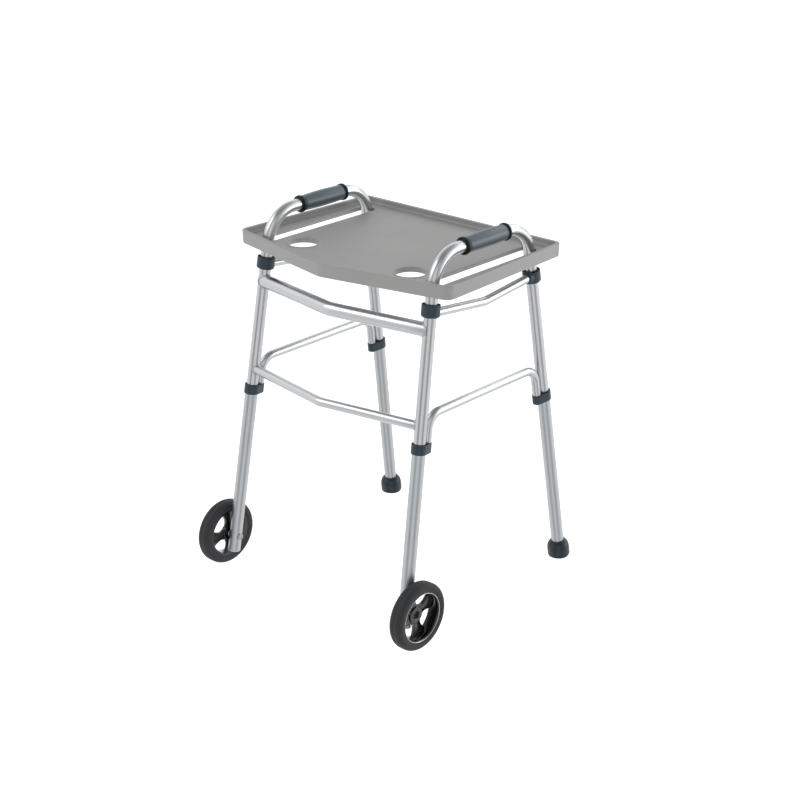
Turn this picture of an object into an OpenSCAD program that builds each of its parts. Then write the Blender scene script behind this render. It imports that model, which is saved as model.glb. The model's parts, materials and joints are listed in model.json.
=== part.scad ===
// Walking frame with two front wheels, two rubber rear tips, telescopic legs and a lift-off tray.
// X is across the frame, the wheels are at -Y, the user stands at +Y, and Z = 0 is the floor.

/* [Stance] */
// Centre plane to a foot's centre line, on the floor
foot_half_width = 263; // [255:1:272]
// Centre plane to a hand tube's centre line
hand_half_width = 233.4; // [226:0.2:240]
// Where the front legs' centre lines meet the floor
front_foot_y = -255; // [-262:1:-248]
// Where the rear legs' centre lines meet the floor
rear_foot_y = 292.6; // [286:0.2:300]
// Lean of the front legs towards the rear
front_lean = 9; // [8.6:0.1:9.4]
// Lean of the rear legs towards the front
rear_lean = 8.55; // [8.2:0.05:8.9]
// Height of the hand tube's centre line
hand_height = 820; // [812:1:828]

/* [Tubes] */
// Outer radius of the leg and hand tube
leg_r = 13; // [12.8:0.1:13.2]
// Wall of every tube
wall = 1.4; // [1.2:0.1:1.5]
// Radius of the two bends under each hand grip
hand_bend_r = 75; // [70:1:80]
// Outer radius of the sliding lower leg tube
extension_r = 14.2; // [14.1:0.05:14.3]
// Radial running clearance between leg and lower leg tube
slide_gap = 0.08; // [0.04:0.01:0.1]
// Outer radius of the upper crossbar
upper_bar_r = 15; // [14.6:0.1:15.4]
// Outer radius of the lower crossbar
lower_bar_r = 10; // [9.5:0.1:10.5]
// Outer radius of the side rails and side braces
side_bar_r = 9.5; // [9:0.1:10]

/* [Heights] */
// Centre of the upper crossbar
upper_bar_z = 669; // [660:1:676]
// Centre of the lower crossbar
lower_bar_z = 470.7; // [464:0.1:476]
// Centre of the side brace
brace_z = 488.5; // [482:0.5:494]
// Centre of the front and rear upper collars
upper_collar_z = [709, 702]; // [696:1:716]
// Centre of the front and rear lower collars
lower_collar_z = [424, 417]; // [412:1:430]
// Middle of the drooping side rail
rail_droop_z = 687.6; // [682:0.2:692]

/* [Leg adjustment] */
// Number of height holes in each lower leg tube
hole_count = 8; // [6:1:8]
// Distance between two height holes
hole_pitch = 25.4; // [24:0.1:26]
// Place of the snap button, measured along the leg from the floor
button_at = 190; // [186:1:194]
// Radius of a snap button
button_r = 3.3; // [3:0.1:3.4]

/* [Wheels] */
// Radius of the front wheels over the tyre
wheel_r = 75; // [74:0.5:76]
// Width of the tyre
tyre_w = 33; // [31:0.5:34]
// Radius of the seat between tyre and rim
seat_r = 55; // [54:0.5:56]
// Leg centre line to the wheel's middle plane
wheel_out = 32.8; // [32.5:0.1:34]
// Number of spokes
spoke_count = 4; // [3:1:5]
// Turn of the right wheel's spokes at rest, in degrees
spoke_turn = 15; // [0:5:45]
// Radius of the axle bolt
bolt_r = 4; // [3.8:0.1:4.2]

/* [Tray] */
// Top of the tray's rim
tray_top = 776; // [774:1:780]
// Height of the tray's outer skirt
tray_h = 29; // [27:1:31]
// Depth of the tray's floor below the rim
tray_depth = 13; // [11:1:15]
// Half width of the tray at the front
tray_front_half = 300; // [296:1:304]
// Half width of the tray at the rear
tray_rear_half = 283; // [280:1:290]
// Front corners of the tray
tray_front_y = -159; // [-164:1:-157]
// Middle of the tray's pointed front edge
tray_nose_y = -221; // [-230:1:-210]
// Rear edge of the tray
tray_rear_y = 231; // [226:1:236]
// Width of the two hand slots
slot_w = 39.6; // [39.4:0.1:40.4]
// Radius of the two cup holes
cup_r = 33.5; // [32:0.5:35]
// Cup hole centre from the centre plane
cup_x = 154; // [148:1:158]
// Cup hole centre from the frame's middle
cup_y = -109; // [-113:1:-106]

/* [Hidden] */
$fn = 96;
RIGHT = 1;
LEFT = -1;
FRONT = 0;
REAR = 1;
fit = 0.3;
far = 1500;
foot_y = [front_foot_y, rear_foot_y];
lean = [front_lean, -rear_lean];
inward = [1, -1];
lean_in = atan((foot_half_width - hand_half_width) / hand_height);

silver = "#c9cccf";
pale = "#dcdee0";
slate = "#36414a";
grip_blue = "#4d5b66";
tray_grey = "#979797";
tyre_black = "#3b3c3f";
gloss_black = "#17181a";
steel = "#9a9da1";

// Distance along a leg's centre line from the floor to height z
function along(end, z) = z / (cos(lean_in) * cos(lean[end]));
// Place across and along the frame of a leg's centre line at height z
function leg_x(z) = foot_half_width - z * tan(lean_in);
function leg_y(end, z) = foot_y[end] + z / cos(lean_in) * tan(lean[end]);

// The left side is the mirrored right side
module side(s) {
    if (s == RIGHT) children();
    else mirror([1, 0, 0]) children();
}

// The inclined plane that holds both legs and the hand tube of one side
module side_plane(s) side(s) translate([foot_half_width, 0, 0]) rotate([0, -lean_in, 0]) children();

// Z runs up one leg's centre line, from the floor
module on_leg(s, end) side_plane(s) translate([0, foot_y[end], 0]) rotate([-lean[end], 0, 0]) children();

// A drawing with its X along the frame and its Y upwards, extruded across the frame
module upright() rotate([90, 0, 90]) children();

module ring(outer, inner) {
    difference() {
        circle(outer);
        circle(inner);
    }
}

module pipe(outer, inner, from, to) translate([0, 0, from]) linear_extrude(to - from) ring(outer, inner);

function heading(a, b) = atan2(b[1] - a[1], b[0] - a[0]);
function turn(p, i) = heading(p[i], p[i + 1]) - heading(p[i - 1], p[i]);
function bend_cut(p, i, bend_r) = i == 0 || i == len(p) - 1 ? 0 : bend_r * tan(abs(turn(p, i)) / 2);

// A bend is this much thinner than its straight neighbours, and reaches this many degrees into them
bend_step = 0.16;
bend_lap = 0.4;

// A round tube in the XY plane along the points of p, with the same bend radius at every corner
module bent_tube(p, bend_r, outer, inner) {
    for (i = [0 : len(p) - 2]) {
        start = bend_cut(p, i, bend_r);
        length = norm(p[i + 1] - p[i]) - start - bend_cut(p, i + 1, bend_r);
        translate([p[i][0], p[i][1], 0])
            rotate([0, 0, heading(p[i], p[i + 1])])
                translate([start, 0, 0])
                    rotate([0, 90, 0])
                        linear_extrude(length) ring(outer, inner);
    }
    for (i = [1 : len(p) - 2]) {
        angle = turn(p, i);
        hand = sign(angle);
        translate([p[i][0], p[i][1], 0])
            rotate([0, 0, heading(p[i - 1], p[i])])
                translate([-bend_cut(p, i, bend_r), hand * bend_r, 0])
                    rotate([0, 0, (hand > 0 ? -90 : 90 + angle) - bend_lap])
                        rotate_extrude(angle = abs(angle) + 2 * bend_lap)
                            translate([bend_r, 0]) ring(outer - bend_step, inner + bend_step);
    }
}

// The solid core of one leg, for cutting the ends of the bars that are welded to it
module leg_core(s, end) on_leg(s, end) translate([0, 0, 60]) cylinder(h = 740, r = leg_r);

// ---- Side frames ----
leg_end = 150;

function on_plane(end, t) = [foot_y[end] + t * sin(lean[end]), t * cos(lean[end])];
function hand_corner(end) = [foot_y[end] + hand_height * tan(lean[end]), hand_height];

// Front leg, hand tube and rear leg bent from one tube
module side_tube(s) {
    path = [on_plane(FRONT, leg_end), hand_corner(FRONT), hand_corner(REAR), on_plane(REAR, leg_end)];
    color(silver)
    difference() {
        side_plane(s) upright() bent_tube(path, hand_bend_r, leg_r, leg_r - wall);
        for (end = [FRONT, REAR])
            on_leg(s, end) button_hole(button_at, button_r + 0.1);
    }
}

module button_hole(at, r) translate([0, 0, at]) rotate([-90, 0, 0]) cylinder(h = 20, r = r);

rail_out = 4;
rail_bend_r = 60;

// Drooping rail between the two upper collars of one side
module side_rail(s) {
    front = [leg_y(FRONT, upper_collar_z[FRONT] - 4), upper_collar_z[FRONT] - 4];
    rear = [leg_y(REAR, upper_collar_z[REAR] + 2), upper_collar_z[REAR] + 2];
    middle = [22, rail_droop_z];
    color(silver)
    difference() {
        side_plane(s) translate([rail_out, 0, 0]) upright()
            bent_tube([front, middle, rear], rail_bend_r, side_bar_r, side_bar_r - wall);
        for (end = [FRONT, REAR]) leg_core(s, end);
    }
}

brace_offset = leg_r + side_bar_r + 0.1;
brace_bend_r = 36;

function beside_leg(end, z) = [leg_y(end, z) + inward[end] * brace_offset / cos(lean[end]), z];

// Inverted U between the two lower collars of one side, its ends lying against the legs
module side_brace(s) {
    ends = [lower_collar_z[FRONT] - 2, lower_collar_z[REAR] - 2];
    path = [
        beside_leg(FRONT, ends[FRONT]),
        beside_leg(FRONT, brace_z),
        beside_leg(REAR, brace_z),
        beside_leg(REAR, ends[REAR])
    ];
    color(silver) side_plane(s) upright() bent_tube(path, brace_bend_r, side_bar_r, side_bar_r - wall);
}

// ---- Crossbars ----
nose_out = [39.5, 42.4];
nose_bend_r = 60;

// A bar from front leg to front leg, pointed in its middle, its ends notched round the legs
module crossbar(z, r, nose) {
    y = leg_y(FRONT, z);
    x = leg_x(z);
    color(silver)
    difference() {
        translate([0, 0, z]) bent_tube([[-x, y], [0, y - nose], [x, y]], nose_bend_r, r, r - wall);
        for (s = [LEFT, RIGHT]) leg_core(s, FRONT);
    }
}
module upper_crossbar() crossbar(upper_bar_z, upper_bar_r, nose_out[0]);
module lower_crossbar() crossbar(lower_bar_z, lower_bar_r, nose_out[1]);

// ---- Collars ----
upper_collar_r = 19.6;
upper_collar_h = 27.6;
lower_collar_r = 17.4;
lower_collar_h = 22;
hood_r = 13;

// Half section of a cup-shaped sleeve: rounded underneath, with a thin lip on top
module collar_section(r, bore, h, round) {
    translate([bore, round]) square([r - bore, h - round - 1.6]);
    translate([bore, 0]) square([r - round - bore, round + 1]);
    translate([bore, h - 1.7]) square([r - 1.2 - bore, 1.7]);
    intersection() {
        translate([r - round, round]) circle(round);
        translate([bore, 0]) square([r - bore, round + 1]);
    }
}

// Sleeve on a leg's upper part, with a hood over the end of the side rail
module upper_collar(s, end) {
    base = along(end, upper_collar_z[end]) - upper_collar_h / 2;
    color(slate)
    difference() {
        union() {
            on_leg(s, end) translate([0, 0, base])
                rotate_extrude() collar_section(upper_collar_r, leg_r, upper_collar_h, 6);
            on_leg(s, end) translate([rail_out, 0, base + 5])
                rotate([-90 * inward[end], 0, 0]) translate([0, -inward[end] * 9, 12])
                    cylinder(h = 12, r = hood_r);
        }
        leg_core(s, end);
        side_plane(s) translate([rail_out, 0, 0]) upright() rail_core(end);
    }
}

// Solid core of the side rail's end, in the side plane's drawing
module rail_core(end) {
    z = upper_collar_z[end] + (end == FRONT ? -4 : 2);
    start = [leg_y(end, z), z];
    aim = heading(start, [22, rail_droop_z]);
    translate([start[0], start[1], 0]) rotate([0, 0, aim]) rotate([0, 90, 0]) cylinder(h = 60, r = side_bar_r);
}

// Sleeve over the joint of leg and lower leg tube, with a lug that holds the end of the side brace
module lower_collar(s, end) {
    base = along(end, lower_collar_z[end]) - lower_collar_h / 2;
    mid = lower_collar_h / 2;
    socket = mid + 0.8;
    color(slate)
    on_leg(s, end) translate([0, 0, base])
        difference() {
            union() {
                rotate_extrude() collar_section(lower_collar_r, leg_r, lower_collar_h, 3);
                translate([0, inward[end] * brace_offset, 0]) cylinder(h = lower_collar_h - 2, r = side_bar_r + 1.7);
            }
            translate([0, 0, -1]) cylinder(h = far, r = leg_r);
            translate([0, 0, -1]) cylinder(h = mid + 1, r = extension_r + fit);
            translate([0, inward[end] * brace_offset, socket]) cylinder(h = far, r = side_bar_r);
            translate([-3, inward[end] * leg_r - 3, socket]) cube([6, 6, far]);
        }
}

// ---- Hand grips ----
grip_from = -41;
grip_length = 139.4;
flange_r = 19;
flange_w = 6;
grip_end_r = 16.4;
grip_mid_r = 17.8;

// Barrel-shaped grip with a flange at each end, pressed on the hand tube
module grip(s) {
    belly = grip_length - 2 * flange_w;
    steps = 16;
    outline = [for (i = [0 : steps])
        [grip_end_r + (grip_mid_r - grip_end_r) * sin(180 * i / steps), flange_w + belly * i / steps]];
    color(grip_blue)
    side_plane(s) translate([0, grip_from, hand_height]) rotate([-90, 0, 0])
        rotate_extrude() {
            translate([leg_r, 0]) square([flange_r - leg_r, flange_w]);
            translate([leg_r, grip_length - flange_w]) square([flange_r - leg_r, flange_w]);
            polygon(concat([[leg_r, flange_w]], outline, [[leg_r, flange_w + belly]]));
        }
}

// ---- Lower legs ----
tip_floor = 8;
front_end = 41;

function extension_bottom(end) = end == FRONT ? along(FRONT, front_end) : tip_floor;
function extension_top(end) = along(end, lower_collar_z[end]) - 0.5;

// Sliding lower leg tube with its row of height holes
module extension(s, end) {
    color(pale)
    difference() {
        on_leg(s, end) pipe(extension_r, leg_r + slide_gap, extension_bottom(end), extension_top(end));
        on_leg(s, end)
            for (i = [0 : hole_count - 1]) button_hole(button_at + i * hole_pitch, button_r + 0.3);
        if (end == FRONT) side(s) axle(-20, 20, bolt_r);
    }
}

button_tip = 17;
button_base = 8.6;
leaf = 0.8;
leaf_w = 8;

// Round-headed pin that locks the lower leg tube
module snap_button(s, end) {
    dome = 1.2;
    color(steel)
    on_leg(s, end) translate([0, 0, button_at]) rotate([-90, 0, 0]) translate([0, 0, button_base]) {
        cylinder(h = button_tip - dome - button_base, r = button_r);
        translate([0, 0, button_tip - dome - button_base]) cylinder(h = dome, r1 = button_r, r2 = button_r - 1.1);
    }
}

// V-shaped leaf spring inside the leg that pushes the snap button out
module snap_spring(s, end) {
    inner = leg_r - wall;
    back = -inner + 0.9;
    color(steel)
    on_leg(s, end) translate([-leaf_w / 2, 0, button_at]) upright() linear_extrude(leaf_w)
        polygon([
            [button_base, -7],
            [button_base, 8],
            [2, 46],
            [-2, 46],
            [back, 4],
            [back, -10],
            [back + leaf, -10],
            [back + leaf, 4],
            [-2 + leaf, 46 - leaf * 2],
            [2 - leaf, 46 - leaf * 2],
            [button_base - leaf, 8],
            [button_base - leaf, -7]
        ]);
}

tip_r = 25.5;
tip_top_r = 18;
tip_h = 41;

// Bell-shaped rubber foot, cut flat by the floor
module rubber_tip(s) {
    steps = 14;
    bell = [for (i = [0 : steps]) let (k = i / steps)
        [tip_top_r + (tip_r - tip_top_r) * (1 + cos(180 * k)) / 2, 8 + (tip_h - 12) * k]];
    color(slate)
    intersection() {
        on_leg(s, REAR)
            rotate_extrude() difference() {
                polygon(concat([[0, -6], [tip_r, -6]], bell, [[tip_top_r, tip_h], [0, tip_h]]));
                translate([-1, tip_floor - 1.5]) square([extension_r + 1, tip_h]);
            }
        translate([-far / 2, -far / 2, 0]) cube([far, far, 200]);
    }
}

// Steel disc that keeps the lower leg tube from cutting through its tip
module tip_washer(s) color(steel) on_leg(s, REAR) pipe(extension_r - 0.2, 4, tip_floor - 1.5, tip_floor);

// Plug in the bottom end of a front leg tube
module end_plug(s) {
    bottom = extension_bottom(FRONT);
    color(pale)
    on_leg(s, FRONT) {
        translate([0, 0, bottom - 2.4]) cylinder(h = 1.2, r1 = extension_r - 1.2, r2 = extension_r);
        translate([0, 0, bottom - 1.2]) cylinder(h = 1.2, r = extension_r);
        pipe(leg_r + slide_gap, leg_r - 1.6, bottom, bottom + 11);
    }
}

// ---- Wheels ----
axle_z = wheel_r;
axle_x = leg_x(axle_z);
axle_y = leg_y(FRONT, axle_z);
wheel_x = axle_x + wheel_out;
hub_r = 19;
hub_in = -15;
hub_face = -2;
pocket_r = 8.2;
pocket_floor = -9.5;
bush_r = 7;
rim_half = 14.4;
rim_wall = 3.4;

// A cylinder on the right wheel's axis, from a to b outwards of the leg's centre line
module axle(a, b, r) translate([axle_x + a, axle_y, axle_z]) rotate([0, 90, 0]) cylinder(h = b - a, r = r);

// Z runs outwards along one wheel's axis, from the wheel's middle plane
module on_wheel(s) side(s) translate([wheel_x, axle_y, axle_z]) rotate([0, 90, 0]) children();

// Solid rubber tyre with rounded shoulders
module tyre(s) {
    shoulder = 9;
    half = tyre_w / 2;
    color(tyre_black)
    on_wheel(s) rotate_extrude() {
        translate([seat_r, -half]) square([wheel_r - shoulder - seat_r, tyre_w]);
        translate([seat_r, -half + shoulder]) square([wheel_r - seat_r, tyre_w - 2 * shoulder]);
        for (side_z = [-1, 1])
            translate([wheel_r - shoulder, side_z * (half - shoulder)]) circle(shoulder);
    }
}

// Spoked rim: a barrel under the tyre, broad spokes and a hub
module wheel_rim(s) {
    tip = seat_r - rim_wall + 1;
    spoke = [[hub_r - 4, -9], [30, -6.5], [tip, -10], [tip, 10], [30, 6.5], [hub_r - 4, 9]];
    turn = s == RIGHT ? spoke_turn : 0;
    color(gloss_black)
    on_wheel(s) difference() {
        union() {
            pipe(seat_r, seat_r - rim_wall, -rim_half, rim_half - 1);
            translate([0, 0, hub_in]) cylinder(h = hub_face - hub_in, r = hub_r);
            for (i = [0 : spoke_count - 1])
                rotate([0, 0, turn + 360 * i / spoke_count]) translate([0, 0, hub_in + 3])
                    linear_extrude(hub_face - hub_in - 5) polygon(spoke);
        }
        translate([0, 0, hub_in - 1]) cylinder(h = far, r = bush_r);
        translate([0, 0, pocket_floor]) cylinder(h = far, r = pocket_r);
    }
}

// Bright ring that closes the joint of tyre and rim on the outer face
module rim_ring(s) color(pale) on_wheel(s) pipe(seat_r, seat_r - 2.6, rim_half - 1, rim_half + 0.8);

// Plastic bush that turns on the axle bolt
module wheel_bush(s) color(steel) on_wheel(s) pipe(bush_r, bolt_r + 0.06, hub_in - 0.2, pocket_floor);

// Spacer between leg and wheel, hollowed to sit on the round leg
module axle_spacer(s) {
    color(steel)
    difference() {
        on_wheel(s) pipe(9, bolt_r, -wheel_out, hub_in - 0.5);
        leg_extension_core(s);
    }
}

module leg_extension_core(s) on_leg(s, FRONT) translate([0, 0, 20]) cylinder(h = 140, r = extension_r);

head_h = 4.6;
nut_h = 3;

// Axle bolt with a low round head in the hub's pocket
module axle_bolt(s) {
    under_head = pocket_floor + 0.3;
    tail = -wheel_out - extension_r - nut_h;
    color(steel)
    on_wheel(s) {
        translate([0, 0, under_head]) cylinder(h = head_h - 1, r = 6.6);
        translate([0, 0, under_head + head_h - 1]) cylinder(h = 1, r1 = 6.6, r2 = 5.4);
        translate([0, 0, tail]) cylinder(h = under_head - tail, r = bolt_r);
    }
}

// Low barrel nut on the inner side of the leg
module axle_nut(s) {
    color(pale)
    difference() {
        on_wheel(s) pipe(7.5, bolt_r, -wheel_out - extension_r - nut_h, -wheel_out);
        leg_extension_core(s);
    }
}

// ---- Tray ----
rim_w = 7;
skirt = 3;
floor_t = 3;
lip_drop = 8;
corner_r = [15, 22, 60, 22, 15];

function unit(v) = v / norm(v);
// Corner i of a closed outline moved inwards by d, for an outline that runs anticlockwise
function inset_corner(p, i, d) =
    let (
        a = p[(i + len(p) - 1) % len(p)],
        b = p[i],
        c = p[(i + 1) % len(p)],
        u = unit(b - a),
        v = unit(c - b),
        n = unit([-u[1], u[0]] + [-v[1], v[0]])
    )
    b + n * d / (n * [-u[1], u[0]]);
function inset(p, d) = [for (i = [0 : len(p) - 1]) inset_corner(p, i, d)];

// Points of a closed outline with each corner rounded by an arc
function rounded(p, r, steps = 8) = [
    for (i = [0 : len(p) - 1])
        let (
            a = p[(i + len(p) - 1) % len(p)],
            b = p[i],
            c = p[(i + 1) % len(p)],
            from = heading(a, b),
            bend = ((heading(b, c) - from) % 360 + 360) % 360,
            centre = inset_corner(p, i, r[i])
        )
        for (k = [0 : steps])
            centre + r[i] * [cos(from - 90 + bend * k / steps), sin(from - 90 + bend * k / steps)]
];

tray_outline = [
    [-tray_rear_half, tray_rear_y],
    [-tray_front_half, tray_front_y],
    [0, tray_nose_y],
    [tray_front_half, tray_front_y],
    [tray_rear_half, tray_rear_y]
];

function tray_edge(d) = rounded(inset(tray_outline, d), [for (r = corner_r) r - d * 0.9]);

tray_floor = tray_top - tray_depth;
slot_x = 233.7;
slot_front = leg_y(FRONT, tray_floor - lip_drop) - leg_r / cos(front_lean) - fit;
slot_rear = leg_y(REAR, tray_floor - lip_drop) + leg_r / cos(rear_lean) + fit;

// Outline of one hand slot, grown by d
module slot_outline(d) {
    r = slot_w / 2 + d;
    translate([slot_x, slot_front + slot_w / 2]) circle(r);
    translate([slot_x, slot_rear - slot_w / 2]) circle(r);
    translate([slot_x - r, slot_front + slot_w / 2]) square([2 * r, slot_rear - slot_front - slot_w]);
}

// Slots for the hand tubes and the two cup holes, cut through everything
module tray_holes() {
    bottom = tray_top - tray_h;
    for (s = [LEFT, RIGHT]) side(s) {
        translate([0, 0, bottom - 1]) linear_extrude(tray_h + 2) slot_outline(0);
        translate([cup_x, cup_y, bottom]) cylinder(h = tray_h, r = cup_r);
    }
}

// Tray, its flat floor: slot walls turned down, cup holes with a raised lip
module tray_panel() {
    color(tray_grey)
    difference() {
        union() {
            translate([0, 0, tray_floor - floor_t]) linear_extrude(floor_t) polygon(tray_edge(rim_w));
            for (s = [LEFT, RIGHT]) side(s) {
                translate([0, 0, tray_floor - lip_drop]) linear_extrude(lip_drop - 1) slot_outline(2.2);
                translate([cup_x, cup_y, tray_floor - 10]) cylinder(h = 9, r = cup_r + 2.2);
                translate([cup_x, cup_y, tray_floor - 1]) cylinder(h = 2.2, r = cup_r + 4);
            }
        }
        tray_holes();
    }
}

// Tray, its raised rim with the skirt below: one moulding with the floor
module tray_rim() {
    bottom = tray_top - tray_h;
    under = tray_floor - floor_t;
    color(tray_grey)
    difference() {
        translate([0, 0, bottom]) linear_extrude(tray_h) polygon(tray_edge(0));
        translate([0, 0, under - 1]) linear_extrude(tray_h) polygon(tray_edge(rim_w));
        translate([0, 0, bottom - 1]) linear_extrude(under - bottom + 1) polygon(tray_edge(skirt));
    }
}

side_tube(RIGHT);  // right_side_tube
side_tube(LEFT);  // left_side_tube
upper_crossbar();
lower_crossbar();
side_rail(RIGHT);  // right_side_rail
side_rail(LEFT);  // left_side_rail
side_brace(RIGHT);  // right_side_brace
side_brace(LEFT);  // left_side_brace
upper_collar(RIGHT, FRONT);  // upper_collar_fr
upper_collar(LEFT, FRONT);  // upper_collar_fl
upper_collar(RIGHT, REAR);  // upper_collar_rr
upper_collar(LEFT, REAR);  // upper_collar_rl
lower_collar(RIGHT, FRONT);  // lower_collar_fr
lower_collar(LEFT, FRONT);  // lower_collar_fl
lower_collar(RIGHT, REAR);  // lower_collar_rr
lower_collar(LEFT, REAR);  // lower_collar_rl
grip(RIGHT);  // right_grip
grip(LEFT);  // left_grip
extension(RIGHT, FRONT);  // lower_leg_fr
extension(LEFT, FRONT);  // lower_leg_fl
extension(RIGHT, REAR);  // lower_leg_rr
extension(LEFT, REAR);  // lower_leg_rl
snap_button(RIGHT, FRONT);  // snap_button_fr
snap_button(LEFT, FRONT);  // snap_button_fl
snap_button(RIGHT, REAR);  // snap_button_rr
snap_button(LEFT, REAR);  // snap_button_rl
snap_spring(RIGHT, FRONT);  // snap_spring_fr
snap_spring(LEFT, FRONT);  // snap_spring_fl
snap_spring(RIGHT, REAR);  // snap_spring_rr
snap_spring(LEFT, REAR);  // snap_spring_rl
rubber_tip(RIGHT);  // rubber_tip_right
rubber_tip(LEFT);  // rubber_tip_left
tip_washer(RIGHT);  // tip_washer_right
tip_washer(LEFT);  // tip_washer_left
end_plug(RIGHT);  // end_plug_right
end_plug(LEFT);  // end_plug_left
tyre(RIGHT);  // tyre_right
tyre(LEFT);  // tyre_left
wheel_rim(RIGHT);  // wheel_rim_right
wheel_rim(LEFT);  // wheel_rim_left
rim_ring(RIGHT);  // rim_ring_right
rim_ring(LEFT);  // rim_ring_left
wheel_bush(RIGHT);  // wheel_bush_right
wheel_bush(LEFT);  // wheel_bush_left
axle_spacer(RIGHT);  // axle_spacer_right
axle_spacer(LEFT);  // axle_spacer_left
axle_bolt(RIGHT);  // axle_bolt_right
axle_bolt(LEFT);  // axle_bolt_left
axle_nut(RIGHT);  // axle_nut_right
axle_nut(LEFT);  // axle_nut_left
tray_panel();
tray_rim();
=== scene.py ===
import json
import math

import bmesh
import bpy
from mathutils import Matrix, Vector
from mathutils.geometry import tessellate_polygon


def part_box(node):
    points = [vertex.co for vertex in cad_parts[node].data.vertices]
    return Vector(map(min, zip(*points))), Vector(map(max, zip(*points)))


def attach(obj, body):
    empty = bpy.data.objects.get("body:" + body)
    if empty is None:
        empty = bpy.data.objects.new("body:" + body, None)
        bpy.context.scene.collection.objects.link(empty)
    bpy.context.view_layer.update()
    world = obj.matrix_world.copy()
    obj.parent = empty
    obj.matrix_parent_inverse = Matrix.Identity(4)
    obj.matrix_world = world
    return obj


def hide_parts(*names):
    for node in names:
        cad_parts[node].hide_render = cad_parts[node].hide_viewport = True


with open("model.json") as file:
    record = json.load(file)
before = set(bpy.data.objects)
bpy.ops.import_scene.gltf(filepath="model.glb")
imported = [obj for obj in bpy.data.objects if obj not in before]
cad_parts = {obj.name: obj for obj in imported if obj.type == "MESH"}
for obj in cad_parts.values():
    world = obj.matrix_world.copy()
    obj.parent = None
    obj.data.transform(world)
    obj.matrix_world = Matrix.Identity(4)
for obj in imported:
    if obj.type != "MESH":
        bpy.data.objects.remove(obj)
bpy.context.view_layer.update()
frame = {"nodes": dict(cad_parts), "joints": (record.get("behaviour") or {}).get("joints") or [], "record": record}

# ---------------------------------------------------------------- the frame's lines, in metres

MM = 0.001
RIGHT, LEFT = 1, -1
FRONT, REAR = 0, 1
SIDES = {RIGHT: "right", LEFT: "left"}
CORNERS = {"fr": (RIGHT, FRONT), "fl": (LEFT, FRONT), "rr": (RIGHT, REAR), "rl": (LEFT, REAR)}
LEG_BODY = {"fr": "front_leg_right", "fl": "front_leg_left", "rr": "rear_leg_right", "rl": "rear_leg_left"}
INWARD = {FRONT: 1, REAR: -1}

joints = {joint["name"]: joint for joint in frame["joints"]}
mounts = {mount["name"]: mount for mount in frame["record"]["mounts"]}


def leg_up(corner):
    return -Vector(joints["leg_height_" + corner]["axis"])


LEAN_IN = math.atan(-leg_up("fr").x / leg_up("fr").z)
LEAN = {end: math.asin(leg_up(corner).y) for corner, (side, end) in CORNERS.items() if side == RIGHT}
WHEEL = {side: Vector(joints["wheel_spin_" + name]["pos_m"]) for side, name in SIDES.items()}
FOOT_X = mounts["rear_foot_right"]["pos_m"][0]
FOOT_Y = {
    FRONT: WHEEL[RIGHT].y - WHEEL[RIGHT].z * leg_up("fr").y / leg_up("fr").z,
    REAR: mounts["rear_foot_right"]["pos_m"][1],
}


def middle(node):
    low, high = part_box(node)
    return (low + high) / 2


def extent(node):
    low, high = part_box(node)
    return high - low


HAND_T = middle("right_grip").z / math.cos(LEAN_IN)
LEG_R = 13 * MM
LOWER_R = 14.2 * MM
LOWER_INNER_R = 13.08 * MM
HAND_BEND_R = 75 * MM
LONGEST_STRETCH = 50 * MM


def mirrored(side):
    return Matrix.Identity(4) if side == RIGHT else Matrix.Scale(-1, 4, (1, 0, 0))


def side_plane(side):
    """X out of one side's inclined plane, Y along the frame, Z up in the plane."""
    return mirrored(side) @ Matrix.Translation((FOOT_X, 0, 0)) @ Matrix.Rotation(-LEAN_IN, 4, "Y")


def on_leg(side, end):
    """Z up one leg's centre line, from the floor."""
    return side_plane(side) @ Matrix.Translation((0, FOOT_Y[end], 0)) @ Matrix.Rotation(-LEAN[end], 4, "X")


def along(end, z):
    return z / (math.cos(LEAN_IN) * math.cos(LEAN[end]))


def leg_point(side, end, z):
    return on_leg(side, end) @ Vector((0, 0, along(end, z)))


# ---------------------------------------------------------------- mesh helpers


def finish_mesh(bm, name, material, sharp_deg=35):
    """A new object from the mesh, smooth except where its faces meet more sharply than sharp_deg."""
    bmesh.ops.recalc_face_normals(bm, faces=bm.faces)
    mesh = bpy.data.meshes.new(name)
    bm.to_mesh(mesh)
    bm.free()
    mesh.materials.append(material)
    mesh.shade_smooth()
    mesh.set_sharp_from_angle(angle=math.radians(sharp_deg))
    piece = bpy.data.objects.new(name, mesh)
    bpy.context.scene.collection.objects.link(piece)
    return piece


def add_ring(bm, points):
    return [bm.verts.new(point) for point in points]


def bridge(bm, lower, upper):
    count = len(lower)
    for i in range(count):
        j = (i + 1) % count
        bm.faces.new((lower[i], lower[j], upper[j], upper[i]))


def set_grain(piece, grain):
    """A vector per vertex that runs with the metal's drawing lines: two places round the tube, then one along it."""
    layer = piece.data.attributes.new("grain", "FLOAT_VECTOR", "POINT")
    layer.data.foreach_set("vector", [x for point in grain for x in point])


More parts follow.
